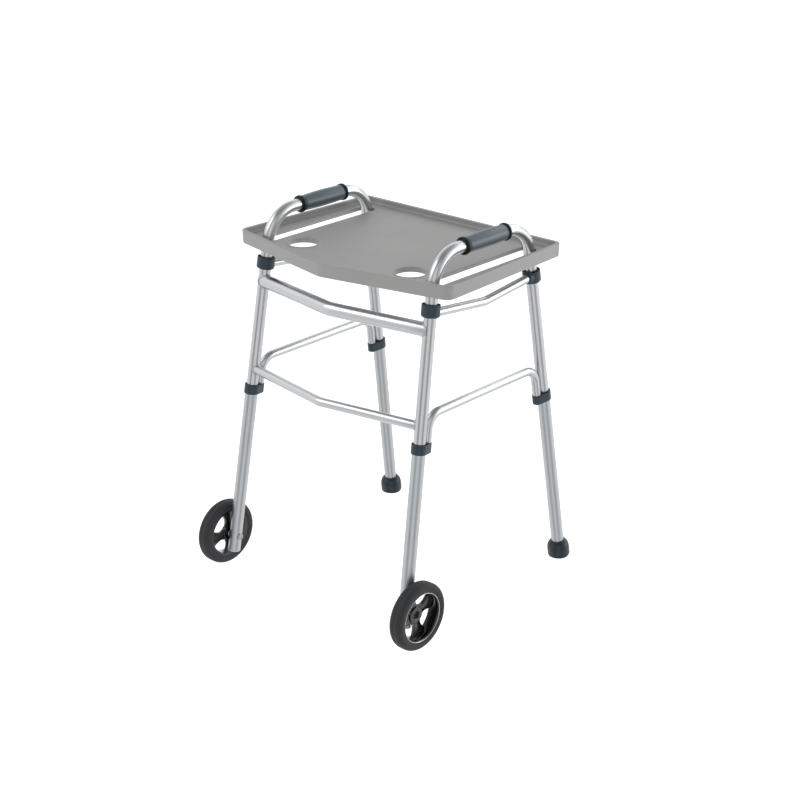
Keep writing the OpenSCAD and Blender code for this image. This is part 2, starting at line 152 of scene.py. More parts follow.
def lathe(name, profile, matrix, material, steps=96, closed=True, sharp_deg=35):
    """A solid turned round Z from (radius, height) points in millimetres; a radius of 0 closes it in a point."""
    bm = bmesh.new()
    rings = []
    for radius, height in profile:
        if radius == 0:
            rings.append([bm.verts.new(matrix @ Vector((0, 0, height * MM)))])
            continue
        turn = [2 * math.pi * i / steps for i in range(steps)]
        rings.append(add_ring(bm, [
            matrix @ Vector((radius * MM * math.cos(a), radius * MM * math.sin(a), height * MM)) for a in turn
        ]))
    pairs = list(zip(rings, rings[1:])) + ([(rings[-1], rings[0])] if closed else [])
    for lower, upper in pairs:
        if len(lower) == 1 and len(upper) == 1:
            continue
        if len(lower) == 1 or len(upper) == 1:
            point, ring = (lower[0], upper) if len(lower) == 1 else (upper[0], lower)
            for i in range(steps):
                bm.faces.new((point, ring[i], ring[(i + 1) % steps]))
        else:
            bridge(bm, lower, upper)
    return finish_mesh(bm, name, material, sharp_deg)


def arc(centre, radius, start_deg, end_deg, steps=6):
    """Points of an arc in the plane, in the units of its centre and radius."""
    turn = [math.radians(start_deg + (end_deg - start_deg) * i / steps) for i in range(steps + 1)]
    return [(centre[0] + radius * math.cos(a), centre[1] + radius * math.sin(a)) for a in turn]


def bent_line(corners, bend_r, step_deg=3):
    """The corners joined by straight lines, with each inner corner rounded to bend_r."""
    line = [corners[0]]
    for before, here, after in zip(corners, corners[1:], corners[2:]):
        into, out = (here - before).normalized(), (after - here).normalized()
        angle = into.angle(out)
        cut = bend_r * math.tan(angle / 2)
        start = here - into * cut
        axis = into.cross(out).normalized()
        centre = start + axis.cross(into) * bend_r
        count = max(2, round(math.degrees(angle) / step_deg))
        line += [
            centre + Matrix.Rotation(angle * i / count, 3, axis) @ (start - centre) for i in range(count + 1)
        ]
    return line + [corners[-1]]


def spaced(line, longest):
    """The line with points added so that no stretch is longer than longest."""
    points = [line[0]]
    for a, b in zip(line, line[1:]):
        count = max(1, math.ceil((b - a).length / longest))
        points += [a.lerp(b, i / count) for i in range(1, count + 1)]
    return points


def sweep(name, line, radius, material, steps=64, round_end=0.0):
    """A round bar along a line, closed at both ends, with its end edges rounded by round_end."""
    tangents = []
    for i in range(len(line)):
        a, b = line[max(i - 1, 0)], line[min(i + 1, len(line) - 1)]
        tangents.append((b - a).normalized())
    normal = tangents[0].orthogonal().normalized()
    length, rings = 0.0, []
    for i, (point, tangent) in enumerate(zip(line, tangents)):
        normal = (normal - tangent * normal.dot(tangent)).normalized()
        length += (point - line[i - 1]).length if i else 0.0
        rings.append((point, tangent, normal.copy(), radius, length))
    if round_end:
        quarter = [math.pi / 2 * k / 5 for k in range(5)]
        first, last = rings[0], rings[-1]
        head = [
            (first[0] + first[1] * round_end * (1 - math.cos(q)), first[1], first[2],
             radius - round_end * (1 - math.sin(q)), 0.0) for q in quarter
        ]
        tail = [
            (last[0] - last[1] * round_end * (1 - math.cos(q)), last[1], last[2],
             radius - round_end * (1 - math.sin(q)), last[4]) for q in reversed(quarter)
        ]
        first = (first[0] + first[1] * round_end, *first[1:])
        last = (last[0] - last[1] * round_end, *last[1:])
        rings = head + [first] + rings[1:-1] + [last] + tail
    bm, grain, made = bmesh.new(), [], []
    for point, tangent, normal, r, distance in rings:
        side = tangent.cross(normal)
        turn = [2 * math.pi * i / steps for i in range(steps)]
        made.append(add_ring(bm, [point + (normal * math.cos(a) + side * math.sin(a)) * r for a in turn]))
        grain += [(math.cos(a), math.sin(a), distance) for a in turn]
    for lower, upper in zip(made, made[1:]):
        bridge(bm, lower, upper)
    bm.faces.new(made[0])
    bm.faces.new(made[-1])
    piece = finish_mesh(bm, name, material)
    set_grain(piece, grain)
    return piece


def place(piece, body, slot, *nodes):
    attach(piece, body)
    if nodes:
        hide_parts(*nodes)
    return piece


# ---------------------------------------------------------------- material helpers


class Look:
    """One material and its node tree."""

    def __init__(self, name, base, roughness, metallic=0.0, **sockets):
        self.material = bpy.data.materials.new(name)
        self.material.use_nodes = True
        self.tree = self.material.node_tree
        self.shader = self.tree.nodes["Principled BSDF"]
        self.base = base
        self.shader.inputs["Metallic"].default_value = metallic
        self.shader.inputs["Roughness"].default_value = roughness
        for socket, value in sockets.items():
            self.shader.inputs[socket.replace("_", " ")].default_value = value

    def node(self, kind, **inputs):
        made = self.tree.nodes.new(kind)
        for name, value in inputs.items():
            self.feed(made, name.replace("_", " "), value)
        return made

    def feed(self, node, socket, value):
        if isinstance(value, bpy.types.NodeSocket):
            self.tree.links.new(value, node.inputs[socket])
        else:
            node.inputs[socket].default_value = value

    def place_in(self, scale=(1, 1, 1), source="Object"):
        """Coordinates stretched by scale, from the object or from the grain that a tube carries."""
        if source == "grain":
            given = self.node("ShaderNodeAttribute")
            given.attribute_name = "grain"
            vector = given.outputs["Vector"]
        else:
            vector = self.node("ShaderNodeTexCoord").outputs[source]
        mapping = self.node("ShaderNodeMapping", Vector=vector, Scale=scale)
        return mapping.outputs["Vector"]

    def noise(self, vector, scale, detail=4.0, roughness=0.55):
        made = self.node("ShaderNodeTexNoise", Vector=vector, Scale=scale, Detail=detail, Roughness=roughness)
        return made.outputs["Fac"]

    def span(self, value, low, high, from_low=0.3, from_high=0.7):
        made = self.node(
            "ShaderNodeMapRange", Value=value, From_Min=from_low, From_Max=from_high, To_Min=low, To_Max=high
        )
        return made.outputs["Result"]

    def add(self, a, b):
        made = self.node("ShaderNodeMath")
        self.feed(made, 0, a)
        self.feed(made, 1, b)
        return made.outputs["Value"]

    def tint(self, value, dark=0.9, light=1.08):
        """The base colour made darker where value is low and lighter where it is high."""
        made = self.node("ShaderNodeMix")
        made.data_type = "RGBA"
        self.feed(made, 0, value)
        made.inputs[6].default_value = (*[c * dark for c in self.base], 1)
        made.inputs[7].default_value = (*[min(1, c * light) for c in self.base], 1)
        self.feed(self.shader, "Base Color", made.outputs[2])

    def rough(self, value):
        self.feed(self.shader, "Roughness", value)

    def bump(self, height, strength, distance):
        made = self.node("ShaderNodeBump", Height=height, Strength=strength, Distance=distance)
        self.feed(self.shader, "Normal", made.outputs["Normal"])


def drawn_metal(name, base, rough_low, rough_high, streaks=26.0, tint=(0.93, 1.05)):
    """Anodised aluminium tube: fine drawing lines along it, soft patches, a few rubbed places."""
    look = Look(name, base, rough_low, metallic=1.0)
    lines = look.noise(look.place_in((streaks, streaks, 1.1), "grain"), 1.0, 5.0, 0.7)
    patches = look.noise(look.place_in((1.6, 1.6, 9.0), "grain"), 1.0, 3.0)
    pits = look.noise(look.place_in(), 1400.0, 2.0)
    worn = look.span(patches, 0.0, 1.0)
    look.tint(look.span(look.add(look.span(lines, 0, 0.5), look.span(worn, 0, 0.5, 0, 1)), 0, 1, 0, 1), *tint)
    look.rough(look.add(look.span(lines, rough_low, rough_high), look.span(patches, -0.03, 0.05)))
    look.bump(look.add(look.span(lines, 0, 0.7), look.span(pits, 0, 0.3)), 0.25, 0.00006)
    return look.material


def moulded(name, base, rough_low, rough_high, grain_scale, depth, tint=(0.93, 1.06), **sockets):
    """Moulded plastic or rubber: a fine surface grain, slow changes of shade, faint scuffs."""
    look = Look(name, base, rough_low, **sockets)
    grain = look.noise(look.place_in(), grain_scale, 3.0)
    cloud = look.noise(look.place_in(), 11.0, 4.0)
    scuff = look.noise(look.place_in((60, 7, 60)), 1.0, 6.0, 0.75)
    look.tint(look.add(look.span(cloud, 0, 0.7), look.span(grain, 0, 0.3)), *tint)
    look.rough(look.add(look.span(grain, rough_low, rough_high), look.span(scuff, 0.0, 0.08, 0.5, 0.75)))
    look.bump(grain, 0.5, depth)
    return look.material


tube_metal = drawn_metal("tube_metal", (0.53, 0.545, 0.56), 0.22, 0.34)
lower_metal = drawn_metal("lower_metal", (0.485, 0.505, 0.52), 0.32, 0.46, tint=(0.95, 1.04))
bead_metal = drawn_metal("bead_metal", (0.42, 0.43, 0.45), 0.30, 0.45, streaks=9.0)
# Light metal for the rim's edge ring, a painted highlight: the ring stands where the rim's edge catches light.
rim_highlight_metal = drawn_metal("rim_highlight_metal", (0.62, 0.63, 0.65), 0.16, 0.26)
zinc_metal = drawn_metal("zinc_metal", (0.40, 0.41, 0.42), 0.32, 0.46, streaks=6.0)
black_metal = drawn_metal("black_metal", (0.035, 0.035, 0.038), 0.35, 0.5, streaks=6.0)
collar_plastic = moulded(
    "collar_plastic", (0.022, 0.037, 0.050), 0.34, 0.50, 2200.0, 0.00014, Specular_IOR_Level=0.32
)
grip_vinyl = moulded("grip_vinyl", (0.038, 0.066, 0.084), 0.34, 0.46, 1500.0, 0.00005, Coat_Weight=0.15)
grip_black = moulded("grip_black", (0.003, 0.004, 0.006), 0.34, 0.48, 1500.0, 0.00006, Specular_IOR_Level=0.3)
tray_plastic = moulded("tray_plastic", (0.266, 0.264, 0.262), 0.40, 0.54, 1900.0, 0.00006, tint=(0.96, 1.03))
tyre_rubber = moulded("tyre_rubber", (0.021, 0.022, 0.025), 0.55, 0.74, 1300.0, 0.00015, Specular_IOR_Level=0.35)
rim_plastic = moulded("rim_plastic", (0.003, 0.003, 0.0035), 0.10, 0.20, 1700.0, 0.00003, Coat_Weight=0.3)
tip_rubber = moulded("tip_rubber", (0.005, 0.015, 0.025), 0.32, 0.46, 1500.0, 0.00012, Specular_IOR_Level=0.42)
plug_plastic = moulded("plug_plastic", (0.50, 0.51, 0.53), 0.4, 0.55, 1800.0, 0.00008)
bush_nylon = moulded("bush_nylon", (0.27, 0.28, 0.29), 0.4, 0.55, 1800.0, 0.00006)


# ---------------------------------------------------------------- tubes

LEG_END = 150 * MM
UPPER_COLLAR_Z = {FRONT: 709 * MM, REAR: 702 * MM}
LOWER_COLLAR_Z = {FRONT: 424 * MM, REAR: 417 * MM}
UPPER_BAR = {"node": "upper_crossbar", "r": extent("upper_crossbar").z / 2, "nose": 39.5 * MM}
LOWER_BAR = {"node": "lower_crossbar", "r": extent("lower_crossbar").z / 2, "nose": 42.4 * MM}
NOSE_BEND_R = 60 * MM
SIDE_BAR_R = 9.5 * MM
RAIL_OUT = 4 * MM
RAIL_BEND_R = 60 * MM
RAIL_LOW_Y = 22 * MM
RAIL_LOW_Z = 687.6 * MM
RAIL_IN_LEG = 11 * MM
BRACE_BEND_R = 36 * MM
BRACE_TOP_Z = 488.5 * MM
BRACE_OFFSET = LEG_R + SIDE_BAR_R + 0.1 * MM
BEAD_RIPPLES = 30


def in_plane(side, across, y, up):
    return side_plane(side) @ Vector((across, y, up))


def leg_y(end, z):
    return leg_point(RIGHT, end, z).y


def side_tube(side):
    def corner(end, up):
        return in_plane(side, 0, FOOT_Y[end] + up * math.tan(LEAN[end]), up)

    low = LEG_END * math.cos(LEAN[FRONT])
    corners = [corner(FRONT, low), corner(FRONT, HAND_T), corner(REAR, HAND_T), corner(REAR, low)]
    node = SIDES[side] + "_side_tube"
    line = spaced(bent_line(corners, HAND_BEND_R), LONGEST_STRETCH)
    place(sweep(node + "_look", line, LEG_R, tube_metal), "frame", "leg_tube", node)


def crossbar(bar):
    z = middle(bar["node"]).z
    ends = [leg_point(side, FRONT, z) for side in (LEFT, RIGHT)]
    nose = Vector((0, ends[0].y - bar["nose"], z))
    line = spaced(bent_line([ends[0], nose, ends[1]], NOSE_BEND_R), LONGEST_STRETCH)
    piece = sweep(bar["node"] + "_look", line, bar["r"], tube_metal, round_end=2 * MM)
    place(piece, "frame", "leg_tube", bar["node"])
    for side, end_point in zip((LEFT, RIGHT), ends):
        weld(bar["node"] + "_weld_" + SIDES[side], end_point, (nose - end_point).normalized(), bar["r"], side)


def weld(name, start, direction, bar_r, side, bead=1.5 * MM, steps=150):
    """A rippled bead where a bar leaves the front of a leg."""
    up = leg_up("fr" if side == RIGHT else "fl")
    across = direction.cross(up).normalized()
    over = across.cross(direction).normalized()
    line = []
    for i in range(steps):
        a = 2 * math.pi * i / steps
        point = start + (across * math.cos(a) + over * math.sin(a)) * bar_r
        offset = point - start
        offset -= up * offset.dot(up)
        run = direction - up * direction.dot(up)
        b, c = offset.dot(run) / run.length_squared, (offset.length_squared - LEG_R ** 2) / run.length_squared
        reach = -b + math.sqrt(b * b - c) if b * b > c else 0.0
        line.append(point + direction * max(reach, 0.0))
    bm, grain, rings, around = bmesh.new(), [], [], 10
    for i, point in enumerate(line):
        tangent = (line[(i + 1) % steps] - line[i - 1]).normalized()
        out = (point - start).normalized()
        side_way = tangent.cross(out).normalized()
        out = side_way.cross(tangent)
        ripple = 1 + 0.13 * math.sin(2 * math.pi * BEAD_RIPPLES * i / steps) + 0.08 * math.sin(i * 0.37)
        turn = [2 * math.pi * k / around for k in range(around)]
        ring = [point + (out * math.cos(t) + side_way * math.sin(t) * 1.35) * bead * ripple for t in turn]
        rings.append(add_ring(bm, ring))
        grain += [(math.cos(t), math.sin(t), i * 0.6 * MM) for t in turn]
    for i in range(steps):
        bridge(bm, rings[i], rings[(i + 1) % steps])
    piece = finish_mesh(bm, name, bead_metal, 60)
    set_grain(piece, grain)
    place(piece, "frame", "leg_tube")


def rail_line(side):
    front_z, rear_z = UPPER_COLLAR_Z[FRONT] - 4 * MM, UPPER_COLLAR_Z[REAR] + 2 * MM
    return [
        in_plane(side, RAIL_OUT, leg_y(FRONT, front_z), front_z),
        in_plane(side, RAIL_OUT, RAIL_LOW_Y, RAIL_LOW_Z),
        in_plane(side, RAIL_OUT, leg_y(REAR, rear_z), rear_z),
    ]


def side_rail(side):
    node = SIDES[side] + "_side_rail"
    line = spaced(bent_line(rail_line(side), RAIL_BEND_R), LONGEST_STRETCH)
    line[0] += (line[1] - line[0]).normalized() * RAIL_IN_LEG
    line[-1] += (line[-2] - line[-1]).normalized() * RAIL_IN_LEG
    place(sweep(node + "_look", line, SIDE_BAR_R, tube_metal, 48), "frame", "leg_tube", node)


def side_brace(side):
    def beside(end, z):
        return in_plane(side, 0, leg_y(end, z) + INWARD[end] * BRACE_OFFSET / math.cos(LEAN[end]), z)

    node = SIDES[side] + "_side_brace"
    corners = [
        beside(FRONT, LOWER_COLLAR_Z[FRONT] - 2 * MM),
        beside(FRONT, BRACE_TOP_Z),
        beside(REAR, BRACE_TOP_Z),
        beside(REAR, LOWER_COLLAR_Z[REAR] - 2 * MM),
    ]
    line = spaced(bent_line(corners, BRACE_BEND_R), LONGEST_STRETCH)
    place(sweep(node + "_look", line, SIDE_BAR_R, tube_metal, 48), "frame", "leg_tube", node)


for side in SIDES:
    side_tube(side)
    side_rail(side)
    side_brace(side)
crossbar(UPPER_BAR)
crossbar(LOWER_BAR)

# ---------------------------------------------------------------- lower legs

HOLE_COUNT = 8
HOLE_PITCH = 25.4 * MM
BUTTON_AT = 190 * MM
BUTTON_R = 3.3 * MM
TIP_FLOOR = 8 * MM
FRONT_END = 41 * MM


def cylinder_cutter(matrix, radius, length, steps=24):
    bm = bmesh.new()
    bmesh.ops.create_cone(
        bm, cap_ends=True, segments=steps, radius1=radius, radius2=radius, depth=length, matrix=matrix
    )
    mesh = bpy.data.meshes.new("cutter")
    bm.to_mesh(mesh)
    bm.free()
    return bpy.data.objects.new("cutter", mesh)


def cut(piece, cutters):
    """The piece with the cutters' solids taken away from it."""
    for cutter in cutters:
        bpy.context.scene.collection.objects.link(cutter)
        change = piece.modifiers.new("cut", "BOOLEAN")
        change.operation = "DIFFERENCE"
        change.solver = "EXACT"
        change.object = cutter
    evaluated = piece.evaluated_get(bpy.context.evaluated_depsgraph_get())
    made = bpy.data.meshes.new_from_object(evaluated)
    piece.modifiers.clear()
    piece.data = made
    for cutter in cutters:
        bpy.data.objects.remove(cutter)


def lower_leg(corner):
    side, end = CORNERS[corner]
    leg = on_leg(side, end)
    low = along(FRONT, FRONT_END) if end == FRONT else TIP_FLOOR
    high = along(end, LOWER_COLLAR_Z[end]) - 0.5 * MM
    edge = 0.25
    bore, skin = LOWER_INNER_R / MM, LOWER_R / MM
    rows = [low / MM + edge + (high - low - 2 * edge * MM) / MM * i / 60 for i in range(61)]
    profile = [(skin - edge, low / MM)] + [(skin, z) for z in rows] + [(skin - edge, high / MM)]
    profile += [(bore + edge, high / MM), (bore, high / MM - edge), (bore, low / MM + edge), (bore + edge, low / MM)]
    piece = lathe("lower_leg_" + corner + "_look", profile, leg, lower_metal, 72)
    holes = [
        cylinder_cutter(
            leg @ Matrix.Translation((0, LOWER_R, BUTTON_AT + i * HOLE_PITCH)) @ Matrix.Rotation(math.pi / 2, 4, "X"),
            BUTTON_R + 0.3 * MM, 12 * MM,
        )
        for i in range(HOLE_COUNT)
    ]
    cut(piece, holes)
    inverse = leg.inverted()
    set_grain(piece, [
        (p.x / LOWER_R, p.y / LOWER_R, p.z) for p in (inverse @ vertex.co for vertex in piece.data.vertices)
    ])
    normals = []
    for polygon in piece.data.polygons:
        for index in polygon.vertices:
            p = inverse @ piece.data.vertices[index].co
            radial = leg.to_3x3() @ Vector((p.x, p.y, 0)).normalized()
            on_skin = polygon.normal.dot(radial) > 0.97 and math.hypot(p.x, p.y) > LOWER_R - 0.1 * MM
            normals.append(radial if on_skin else polygon.normal)
    piece.data.normals_split_custom_set(normals)
    place(piece, LEG_BODY[corner], "lower_leg_tube", "lower_leg_" + corner)


def snap_button(corner):
    side, end = CORNERS[corner]
    base, tip, r = 8.6, 17.0, BUTTON_R / MM
    matrix = on_leg(side, end) @ Matrix.Translation((0, 0, BUTTON_AT)) @ Matrix.Rotation(-math.pi / 2, 4, "X")
    profile = [(0, base), (r, base)] + arc((r - 1.6, tip - 1.6), 1.6, 0, 78, 8) + [(0, tip)]
    piece = lathe("snap_button_" + corner + "_look", profile, matrix, zinc_metal, 48, closed=False)
    set_grain(piece, [tuple(vertex.co * 100) for vertex in piece.data.vertices])
    place(piece, "button_" + corner, "zinc_steel", "snap_button_" + corner)


def turned_grain(piece, scale=60.0):
    set_grain(piece, [tuple(vertex.co * scale) for vertex in piece.data.vertices])


for corner in CORNERS:
    lower_leg(corner)
    snap_button(corner)


def end_plug(side):
    node = "end_plug_" + SIDES[side]
    bottom = along(FRONT, FRONT_END) / MM
    skin, bore = LOWER_R / MM, LOWER_INNER_R / MM
    profile = [(0, bottom - 2.4), (skin - 2.4, bottom - 2.4)]
    profile += arc((skin - 1.6, bottom - 0.8), 1.6, -80, 0, 6) + [(skin, bottom), (bore, bottom), (bore, bottom + 3)]
    piece = lathe(node + "_look", profile + [(0, bottom + 3)], on_leg(side, FRONT), plug_plastic, 72, closed=False)
    place(piece, "front_leg_" + SIDES[side], "plug_plastic", node)


def rubber_tip(side):
    node = "rubber_tip_" + SIDES[side]
    foot, neck, high, toe, widest = 25.5, 17.6, 41.0, 9.0, 19.0
    dome = [math.radians(84 * k / 16) for k in range(17)]
    profile = [(0, -6), (foot - toe + 1, -6)] + arc((foot - toe, 6), toe, -75, 0, 12)
    profile += [(neck + (foot - neck) * math.cos(t), widest + (high - 3.6 - widest) * math.sin(t)) for t in dome]
    profile += [(neck, high - 3.0), (neck + 0.1, high - 2)] + arc((neck - 1.4, high - 1.5), 1.5, 0, 90, 6)
    profile += [(LOWER_R / MM + 0.1, high), (LOWER_R / MM + 0.1, high - 6), (0, high - 6)]
    piece = lathe(node + "_look", profile, on_leg(side, REAR), tip_rubber, 96, closed=False)
    bm = bmesh.new()
    bm.from_mesh(piece.data)
    everything = list(bm.verts) + list(bm.edges) + list(bm.faces)
    result = bmesh.ops.bisect_plane(
        bm, geom=everything, plane_co=(0, 0, 0.02 * MM), plane_no=(0, 0, 1), clear_inner=True
    )
    edges = [item for item in result["geom_cut"] if isinstance(item, bmesh.types.BMEdge)]
    bmesh.ops.contextual_create(bm, geom=edges)
    bmesh.ops.recalc_face_normals(bm, faces=bm.faces)
    bm.to_mesh(piece.data)
    bm.free()
    piece.data.set_sharp_from_angle(angle=math.radians(35))
    place(piece, "rear_leg_" + SIDES[side], "tip_rubber", node)


for side in SIDES:
    end_plug(side)
    rubber_tip(side)

# ---------------------------------------------------------------- collars


def upper_collar(corner):
    side, end = CORNERS[corner]
    r, h, bore = 19.6, 27.6, LEG_R / MM
    base = along(end, UPPER_COLLAR_Z[end]) / MM - h / 2
    profile = [(bore, 0), (r - 6, 0)] + arc((r - 6, 6), 6, -80, 0, 10)
    profile += [(r, h - 3.2), (r - 0.45, h - 2.6), (r - 0.45, h - 2.2), (r - 0.1, h - 1.7)]
    profile += arc((r - 0.8, h - 0.7), 0.7, 0, 180, 6) + [(r - 1.9, h - 3.4), (bore + 1.0, h - 4.2), (bore, h - 4.2)]
    matrix = on_leg(side, end) @ Matrix.Translation((0, 0, base * MM))
    piece = lathe("upper_collar_" + corner + "_look", profile, matrix, collar_plastic)
    place(piece, "frame", "collar_plastic", "upper_collar_" + corner)
    if end == REAR:
        hood(corner, side)


def hood(corner, side):
    """The cup on a rear collar's inner side that the rail's end sits in."""
    line = rail_line(side)
    start, towards = line[2], line[1]
    aim = (towards - start).normalized().to_track_quat("Z", "Y").to_matrix().to_4x4()
    r, bore, deep = 12.8, SIDE_BAR_R / MM, 23.0
    profile = [(bore, 10), (r, 10), (r, deep - 3)] + arc((r - 2, deep - 2), 2, 0, 90, 6)
    profile += [(bore + 0.9, deep), (bore + 0.9, deep - 1.6), (bore, deep - 1.6)]
    piece = lathe("rail_hood_" + corner, profile, Matrix.Translation(start) @ aim, collar_plastic, 64)
    place(piece, "frame", "collar_plastic", "upper_collar_" + corner)


def two_round(d, r1, r2, apart, steps=40):
    """Outline round two circles, the second one apart along Y, with both radii less d."""
    a, b = r1 - d, r2 - d
    touch = math.asin((a - b) / abs(apart))
    sign = 1 if apart > 0 else -1
    start = math.pi - touch
    turns = [touch + (math.pi - 2 * touch) * i / steps for i in range(steps + 1)]
    small = [(b * math.cos(t), apart + sign * b * math.sin(t)) for t in turns]
    sweep_big = [start + (math.pi + 2 * touch) * i / (2 * steps) for i in range(2 * steps + 1)]
    big = [(a * math.cos(t), sign * a * math.sin(t)) for t in sweep_big]
    return small + big


def lower_collar(corner):
    side, end = CORNERS[corner]
    h, r1, r2 = 22.0, 16.8, SIDE_BAR_R / MM + 1.2
    apart = INWARD[end] * BRACE_OFFSET / MM
    base = along(end, LOWER_COLLAR_Z[end]) / MM - h / 2
    matrix = on_leg(side, end) @ Matrix.Translation((0, 0, base * MM))
    rounding = arc((1.8, 1.8), 1.8, -90, 0, 6)
    levels = [(3.6 - x, z) for x, z in rounding]
    levels += [(0, h - 3.4), (0.4, h - 2.9), (0.4, h - 2.4), (0.05, h - 2.0), (0.05, h - 0.8)]
    levels += [(0.3, h - 0.2), (0.8, h), (1.3, h - 0.2), (1.6, h - 0.8), (1.7, h - 3.2)]
    bm = bmesh.new()
    rings = [
        add_ring(bm, [matrix @ Vector((x * MM, y * MM, z * MM)) for x, y in two_round(d, r1, r2, apart)])
        for d, z in levels
    ]
    for lower, upper in zip(rings, rings[1:]):
        bridge(bm, lower, upper)
    bm.faces.new(rings[0])
    bm.faces.new(rings[-1])
    piece = finish_mesh(bm, "lower_collar_" + corner + "_look", collar_plastic)
    place(piece, "frame", "collar_plastic", "lower_collar_" + corner)


for corner in CORNERS:
    upper_collar(corner)
    lower_collar(corner)

# ---------------------------------------------------------------- hand grips


def grip(side):
    node = SIDES[side] + "_grip"
    low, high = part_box(node)
    length = (high.y - low.y) / MM
    bore, flange, wide = LEG_R / MM, 19.0, 6.0
    matrix = side_plane(side) @ Matrix.Translation((0, low.y, HAND_T)) @ Matrix.Rotation(-math.pi / 2, 4, "X")
    flat = Matrix.Scale(-1, 4, (0, 0, 1))
    for tag, move in (("front", matrix), ("rear", matrix @ Matrix.Translation((0, 0, length * MM)) @ flat)):
        ring = [(bore, 0.6), (bore + 0.6, 0)] + arc((flange - 1.8, 1.8), 1.8, -90, 0, 6)
        ring += arc((flange - 1.4, wide - 1.4), 1.4, 0, 90, 6) + [(bore, wide)]
        place(lathe(f"{node}_flange_{tag}", ring, move, grip_black), "frame", "grip_vinyl", node)
    start, stop = wide, length - wide
    steps = 24
    barrel = [
        (16.8 + 1.5 * math.sin(math.pi * i / steps), start + 5 + (stop - start - 10) * i / steps)
        for i in range(steps + 1)
    ]
    near = [(bore, start - 0.2), (15.2, start - 0.2), (15.2, start + 0.9), (16.5, start + 1.3), (16.9, start + 2.2)]
    near += [(16.5, start + 3.3), (15.5, start + 3.9), (15.5, start + 4.3)]
    far = [(r, length - z) for r, z in reversed(near)]
    piece = lathe(node + "_look", near + barrel + far, matrix, grip_vinyl, 96, sharp_deg=50)
    place(piece, "frame", "grip_vinyl", node)


for side in SIDES:
    grip(side)

# ---------------------------------------------------------------- wheels

WHEEL_R = 75.0
SEAT_R = 55.0
RIM_HALF = 14.4
WHEEL_STEPS = 144
SPOKES = 4
SPOKE_TURN = {RIGHT: math.radians(15), LEFT: 0.0}


def on_wheel(side):
    tyre = middle("tyre_" + SIDES[side])
    flip = mirrored(side)
    return Matrix.Translation(tyre) @ flip.to_3x3().to_4x4() @ Matrix.Rotation(math.pi / 2, 4, "Y")


def tyre(side):
    node = "tyre_" + SIDES[side]
    half, shoulder = 16.5, 11.0
    profile = [(SEAT_R, -13.6), (SEAT_R + 0.6, -14.6)]
    lower = arc((WHEEL_R - shoulder, -half + shoulder), shoulder, -112, 0, 14)
    crown = [(WHEEL_R, -half + shoulder + 1), (WHEEL_R, -0.6), (WHEEL_R - 0.35, 0), (WHEEL_R, 0.6)]
    upper = arc((WHEEL_R - shoulder, half - shoulder), shoulder, 0, 112, 14)
    profile += [(SEAT_R + 3, -15.4)] + lower + crown + upper
    profile += [(SEAT_R + 3, 15.4), (SEAT_R + 0.6, 14.6), (SEAT_R, 13.6)]
    piece = lathe(node + "_look", profile, on_wheel(side), tyre_rubber, WHEEL_STEPS)
    place(piece, "wheel_" + SIDES[side], "tyre_rubber", node)


def spoke_half_width(r):
    """Half the width of a spoke at radius r, in millimetres: slim near the hub, broad at the rim."""
    reach = max(0.0, (r - 25) / 27)
    return 9.6 + 12.5 * reach ** 1.9 + 2.6 * max(0.0, (26 - r) / 9)


def wheel_rim(side):
    node = "wheel_rim_" + SIDES[side]
    matrix = on_wheel(side)
    inner = SEAT_R - 3.4
    barrel = [
        (SEAT_R, -RIM_HALF), (SEAT_R, RIM_HALF - 1.4), (SEAT_R - 0.5, RIM_HALF - 1), (inner + 0.8, RIM_HALF - 1),
        (inner, RIM_HALF - 2), (inner - 0.6, 4), (inner - 1.4, -3.2), (inner - 1.4, -12.5),
        (inner, -RIM_HALF + 0.6), (inner + 0.6, -RIM_HALF),
    ]
    piece = lathe(node + "_look", barrel, matrix, rim_plastic, WHEEL_STEPS)
    place(piece, "wheel_" + SIDES[side], "rim_plastic", node)
    hub_r, pocket_r, hub_in, face, floor = 19.0, 8.2, -15.0, -2.0, -9.5
    hub = [(7.0, hub_in), (hub_r - 1.2, hub_in), (hub_r, hub_in + 1.2), (hub_r, face - 2.2)]
    hub += arc((hub_r - 2.2, face - 2.2), 2.2, 0, 90, 6) + [(pocket_r + 4.2, face), (pocket_r + 3.6, face - 0.5)]
    hub += [(pocket_r + 1.0, face - 0.5), (pocket_r, face - 1.3), (pocket_r, floor), (7.0, floor)]
    place(lathe(node + "_hub", hub, matrix, rim_plastic), "wheel_" + SIDES[side], "rim_plastic", node)
    bm = bmesh.new()
    radii = [15 + (inner + 1.5 - 15) * i / 24 for i in range(25)]
    for spoke in range(SPOKES):
        turn = Matrix.Rotation(SPOKE_TURN[side] + 2 * math.pi * spoke / SPOKES, 4, "Z")
        edge = [(r, -spoke_half_width(r)) for r in radii] + [(r, spoke_half_width(r)) for r in reversed(radii)]
        rings = []
        for inset, z in ((1.2, -14.2), (0.35, -13.85), (0, -13.0), (0, -7.0), (0.35, -6.15), (1.2, -5.8)):
            outline = [(r, w - math.copysign(inset, w)) for r, w in edge]
            rings.append(add_ring(bm, [matrix @ turn @ Vector((x * MM, y * MM, z * MM)) for x, y in outline]))
        for lower, upper in zip(rings, rings[1:]):
            bridge(bm, lower, upper)
        bm.faces.new(rings[0])
        bm.faces.new(rings[-1])
    spokes = finish_mesh(bm, node + "_spokes", rim_plastic)
    place(spokes, "wheel_" + SIDES[side], "rim_plastic", node)


def rim_ring(side):
    node = "rim_ring_" + SIDES[side]
    low, high, outer, inner = RIM_HALF - 1, RIM_HALF + 0.8, SEAT_R, SEAT_R - 1.3
    profile = [(outer, low)] + arc((outer - 0.6, high - 0.6), 0.6, 0, 90, 5)
    profile += arc((inner + 0.6, high - 0.6), 0.6, 90, 180, 5) + [(inner, low)]
    # The ring's light metal paints the highlight along the rim's edge.
    piece = lathe(node + "_look", profile, on_wheel(side), rim_highlight_metal, WHEEL_STEPS)
    turned_grain(piece)
    place(piece, "wheel_" + SIDES[side], "rim_ring_bright", node)


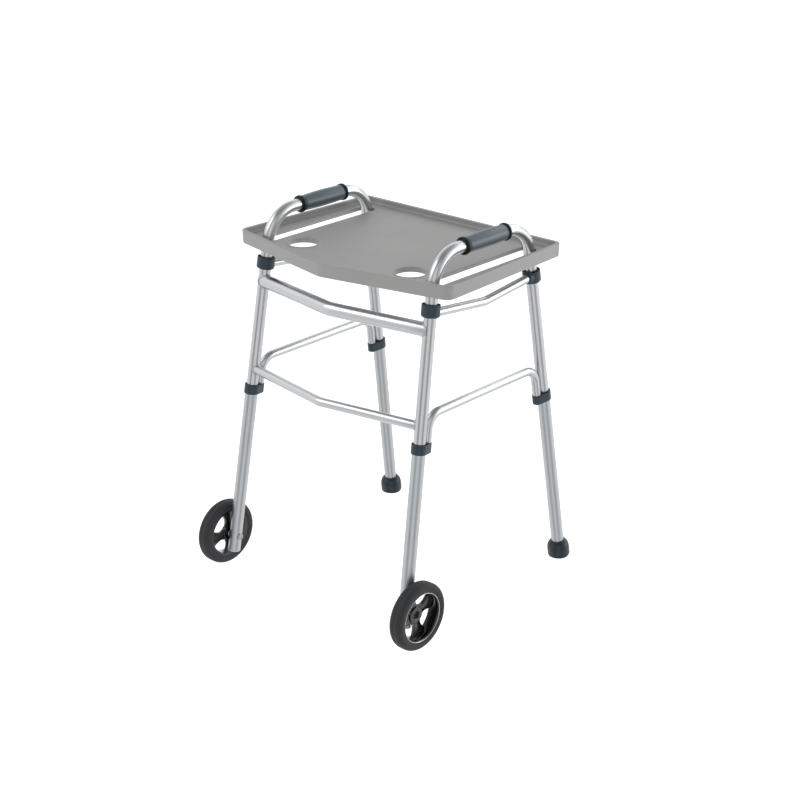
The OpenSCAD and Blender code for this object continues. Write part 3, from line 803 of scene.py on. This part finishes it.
def axle_parts(side):
    tag = SIDES[side]
    matrix = on_wheel(side)
    out = (WHEEL[side].x - leg_point(side, FRONT, WHEEL[side].z).x) * side / MM
    head, under = 4.6, -9.2
    bolt = [(0, under), (6.6, under), (6.6, under + head - 1.4)] + arc((5.2, under + head - 1.4), 1.4, 0, 90, 5)
    bolt += [(3.4, under + head), (3.0, under + head - 1.6), (0, under + head - 1.6)]
    shank = [(0, -out - 17.2), (3.4, -out - 17.2), (4.0, -out - 16.6), (4.0, under), (0, under)]
    spacer = [(4, -out + 14), (8.4, -out + 14), (9, -out + 14.6), (9, -16.1), (8.4, -15.5), (4, -15.5)]
    nut = [(4, -out - 17.2), (6.9, -out - 17.2), (7.5, -out - 16.6), (7.5, -out - 14), (4, -out - 14)]
    made = (
        ("axle_bolt_" + tag, "_head", bolt), ("axle_bolt_" + tag, "_shank", shank),
        ("axle_spacer_" + tag, "_look", spacer), ("axle_nut_" + tag, "_look", nut),
    )
    for node, suffix, profile in made:
        metal = black_metal if suffix == "_head" else zinc_metal
        piece = lathe(node + suffix, profile, matrix, metal, 64, closed=profile[0][0] > 0)
        turned_grain(piece)
        place(piece, "front_leg_" + tag, "zinc_steel", node)


for side in SIDES:
    tyre(side)
    wheel_rim(side)
    rim_ring(side)
    axle_parts(side)

# ---------------------------------------------------------------- tray

TRAY_LOW, TRAY_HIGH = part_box("tray_rim")
TRAY_TOP = TRAY_HIGH.z / MM
TRAY_BOTTOM = TRAY_LOW.z / MM
TRAY_FLOOR = mounts["tray_floor"]["pos_m"][2] / MM
REAR_HALF, FRONT_HALF = 283.0, 300.0
REAR_Y, FRONT_Y, NOSE_Y = 231.0, -159.0, -221.0
TRAY_CORNERS = [
    Vector((-REAR_HALF, REAR_Y)), Vector((-FRONT_HALF, FRONT_Y)), Vector((0, NOSE_Y)),
    Vector((FRONT_HALF, FRONT_Y)), Vector((REAR_HALF, REAR_Y)),
]
CORNER_R = [15, 20, 60, 20, 15]
SLOT_X, SLOT_W = 233.7, 39.6
CUP = mounts["cup_hole_right"]


def inset(points, d):
    """A closed outline that runs anticlockwise, moved inwards by d."""
    moved = []
    for i, here in enumerate(points):
        into = (here - points[i - 1]).normalized()
        out = (points[(i + 1) % len(points)] - here).normalized()
        left, left_out = Vector((-into.y, into.x)), Vector((-out.y, out.x))
        half = (left + left_out).normalized()
        moved.append(here + half * (d / half.dot(left)))
    return moved


def tray_edge(d, steps=10):
    """The tray's outline moved inwards by d, with its corners rounded."""
    corners = inset(TRAY_CORNERS, d)
    outline = []
    for i, here in enumerate(corners):
        r = max(0.5, CORNER_R[i] - 0.9 * d)
        into = (here - corners[i - 1]).normalized()
        out = (corners[(i + 1) % len(corners)] - here).normalized()
        turn = math.atan2(into.x * out.y - into.y * out.x, into.dot(out))
        start = here - into * r * math.tan(turn / 2)
        centre = start + Vector((-into.y, into.x)) * r
        for k in range(steps + 1):
            outline.append(centre + Matrix.Rotation(turn * k / steps, 2) @ (start - centre))
    return outline


def slot_edge(side, d, steps=20):
    low = (leg_point(RIGHT, FRONT, (TRAY_FLOOR - 8) * MM).y - LEG_R / math.cos(LEAN[FRONT])) / MM - 0.3
    high = (leg_point(RIGHT, REAR, (TRAY_FLOOR - 8) * MM).y + LEG_R / math.cos(LEAN[REAR])) / MM + 0.3
    r = SLOT_W / 2 + d
    rear = arc((side * SLOT_X, high - SLOT_W / 2), r, 0, 180, steps)
    front = arc((side * SLOT_X, low + SLOT_W / 2), r, 180, 360, steps)
    return [Vector(point) for point in rear + front]


def cup_edge(side, d, steps=72):
    x, y = CUP["pos_m"][0] / MM * side, CUP["pos_m"][1] / MM
    return [Vector(point) for point in arc((x, y), CUP["dims"]["r_mm"] + d, 0, 360 - 360 / steps, steps - 1)]


def tray():
    bm = bmesh.new()

    def ring(outline, z):
        return add_ring(bm, [Vector((p.x * MM, p.y * MM, z * MM)) for p in outline])

    def wall(edge, levels):
        rings = [ring(edge(d), z) for d, z in levels]
        for lower, upper in zip(rings, rings[1:]):
            bridge(bm, lower, upper)
        return rings[0], rings[-1]

    def sheet(outer, holes):
        loops = [outer, *holes]
        flat = [vertex for loop in loops for vertex in loop]
        for triangle in tessellate_polygon([[vertex.co.copy() for vertex in loop] for loop in loops]):
            bm.faces.new([flat[i] for i in triangle])

    under, floor, top, bottom = TRAY_FLOOR - 3, TRAY_FLOOR, TRAY_TOP, TRAY_BOTTOM
    fillet = [(8.6 + 5.0 * (1 - math.cos(math.radians(a))), floor + 5.0 * (1 - math.sin(math.radians(a))))
              for a in range(0, 91, 15)]
    levels = [(6.0, under), (4.2, under), (4.0, under - 1), (3.4, bottom + 1), (2.9, bottom), (1.6, bottom)]
    levels += [(1.1, bottom + 0.5), (1.0, bottom + 1.5), (0.3, top - 6), (0.05, top - 1.4), (0.3, top - 0.5)]
    levels += [(0.9, top - 0.08), (1.5, top), (6.6, top), (7.3, top - 0.1), (7.9, top - 0.6), (8.1, top - 1.6)]
    levels += fillet + [(15.5, floor)]
    under_ring, floor_ring = wall(tray_edge, levels)
    tops, unders = [], []
    for side in SIDES:
        lip = [(3.4, floor), (1.7, floor), (0.9, floor - 0.25), (0.25, floor - 0.9), (0.0, floor - 1.8)]
        lip += [(0.0, floor - 7.4), (0.5, floor - 8), (1.7, floor - 8), (2.2, floor - 7.5), (2.2, under), (4, under)]
        first, last = wall(lambda d: slot_edge(side, d), lip)
        tops.append(first)
        unders.append(last)
        bead = [(7.0, floor), (4.4, floor), (3.8, floor + 0.3), (3.2, floor + 1.0), (2.2, floor + 1.2)]
        bead += [(0.9, floor + 1.0), (0.2, floor + 0.3), (0.0, floor - 0.6), (0.0, floor - 9.5), (0.5, floor - 10)]
        bead += [(1.7, floor - 10), (2.2, floor - 9.5), (2.2, under), (4, under)]
        first, last = wall(lambda d: cup_edge(side, d), bead)
        tops.append(first)
        unders.append(last)
    sheet(floor_ring, tops)
    sheet(under_ring, unders)
    piece = finish_mesh(bm, "tray_look", tray_plastic, 40)
    place(piece, "tray_body", "tray_plastic", "tray_panel", "tray_rim")


tray()

# ---------------------------------------------------------------- looks of the CAD nodes that stay


def repaint(node, material):
    piece = frame["nodes"][node]
    piece.data.materials.clear()
    piece.data.materials.append(material)


for tag in SIDES.values():
    repaint("tip_washer_" + tag, zinc_metal)
    repaint("wheel_bush_" + tag, bush_nylon)
for corner in CORNERS:
    repaint("snap_spring_" + corner, zinc_metal)

# ---------------------------------------------------------------- studio

VIEW_AZIMUTH = 41.843
VIEW_DOWN = 22.441
CAMERA_AT = (2.2961, -2.5339, 1.8184)
CAMERA_LENS = 75.03
SENSOR_WIDTH = 36
SKY_STRENGTH = 1.2
SKY_ROUND = [(0.0, 0.92), (1.0, 1.0), (0.10, 0.88), (0.20, 0.36), (0.25, 0.36), (0.38, 0.92)]
SKY_UPWARDS = [(0.0, 1.0), (1.0, 0.36), (0.62, 1.0), (0.84, 0.44)]
LIT_POINT = (0, 0, 0.5)
LIGHTS = {
    "key": ((-1.8, -2.4, 3.4), (2.4, 2.4), 40),
    "fill": ((2.5, 2.5, 1.1), (1.7, 1.9), 30),
    "back": ((0.5, 3.2, 2.6), (2.6, 1.4), 20),
}
FLOOR_HALF = 40.0
FLOOR_Z = -0.180  # just under the feet at the legs' longest setting, so that no pose dips into the floor


def studio_floor():
    look = Look("studio_floor", (0.90, 0.90, 0.90), 0.9, Emission_Strength=0.40, Specular_IOR_Level=0.0)
    look.shader.inputs["Emission Color"].default_value = (1, 1, 1, 1)
    look.tint(look.noise(look.place_in(), 0.6, 2.0), 0.995, 1.005)
    mesh = bpy.data.meshes.new("studio_floor")
    corners = [(x * FLOOR_HALF, y * FLOOR_HALF, 0) for x, y in ((-1, -1), (1, -1), (1, 1), (-1, 1))]
    mesh.from_pydata(corners, [], [(0, 1, 2, 3)])
    mesh.materials.append(look.material)
    floor = bpy.data.objects.new("studio_floor", mesh)
    floor.location.z = FLOOR_Z
    floor.visible_glossy = False
    bpy.context.scene.collection.objects.link(floor)


def studio_sky():
    """Light all round: darker overhead and in two soft bands either side of the camera's direction."""
    world = bpy.data.worlds.new("studio_sky")
    world.use_nodes = True
    bpy.context.scene.world = world
    tree = world.node_tree

    def node(kind, operation, *values):
        made = tree.nodes.new(kind)
        made.operation = operation
        for i, value in enumerate(values):
            if isinstance(value, bpy.types.NodeSocket):
                tree.links.new(value, made.inputs[i])
            else:
                made.inputs[i].default_value = value
        return made

    def ramp(value, stops):
        made = tree.nodes.new("ShaderNodeValToRGB")
        made.color_ramp.interpolation = "EASE"
        tree.links.new(value, made.inputs["Fac"])
        points = made.color_ramp.elements
        for i, (position, shade) in enumerate(stops):
            point = points[i] if i < 2 else points.new(position)
            point.position = position
            point.color = (shade, shade, shade, 1)
        return made.outputs["Color"]

    direction = tree.nodes.new("ShaderNodeTexCoord").outputs["Generated"]
    azimuth = math.radians(VIEW_AZIMUTH)
    ahead = (math.sin(azimuth), -math.cos(azimuth), 0)
    beside = (math.cos(azimuth), math.sin(azimuth), 0)
    front = node("ShaderNodeVectorMath", "DOT_PRODUCT", direction, ahead).outputs["Value"]
    side = node("ShaderNodeVectorMath", "DOT_PRODUCT", direction, beside).outputs["Value"]
    turn = node("ShaderNodeMath", "ARCTAN2", side, front).outputs["Value"]
    away = node("ShaderNodeMath", "ABSOLUTE", turn).outputs["Value"]
    around = node("ShaderNodeMath", "DIVIDE", away, math.pi).outputs["Value"]
    split = tree.nodes.new("ShaderNodeSeparateXYZ")
    tree.links.new(direction, split.inputs[0])
    bands = ramp(around, SKY_ROUND)
    height = ramp(split.outputs["Z"], SKY_UPWARDS)
    shade = node("ShaderNodeVectorMath", "MULTIPLY", bands, height).outputs["Vector"]
    background = tree.nodes["Background"]
    tree.links.new(shade, background.inputs["Color"])
    background.inputs["Strength"].default_value = SKY_STRENGTH


def soft_light(name, location, size, power):
    """A rectangular light that faces the middle of the frame and isn't itself in the picture."""
    data = bpy.data.lights.new(name, "AREA")
    data.shape = "RECTANGLE"
    data.size, data.size_y = size
    data.energy = power
    light = bpy.data.objects.new(name, data)
    light.location = location
    light.rotation_euler = (Vector(LIT_POINT) - Vector(location)).to_track_quat("-Z", "Y").to_euler()
    light.visible_camera = False
    bpy.context.scene.collection.objects.link(light)


def camera():
    data = bpy.data.cameras.new("camera")
    data.lens = CAMERA_LENS
    data.sensor_width = SENSOR_WIDTH
    made = bpy.data.objects.new("camera", data)
    made.location = CAMERA_AT
    made.rotation_euler = (math.radians(90 - VIEW_DOWN), 0, math.radians(VIEW_AZIMUTH))
    bpy.context.scene.collection.objects.link(made)
    bpy.context.scene.camera = made


studio_floor()
studio_sky()
for name, (location, size, power) in LIGHTS.items():
    soft_light(name, location, size, power)
camera()

view = bpy.context.scene.view_settings
view.view_transform = "Standard"
view.look = "None"
view.exposure = 0.0
view.gamma = 1.0
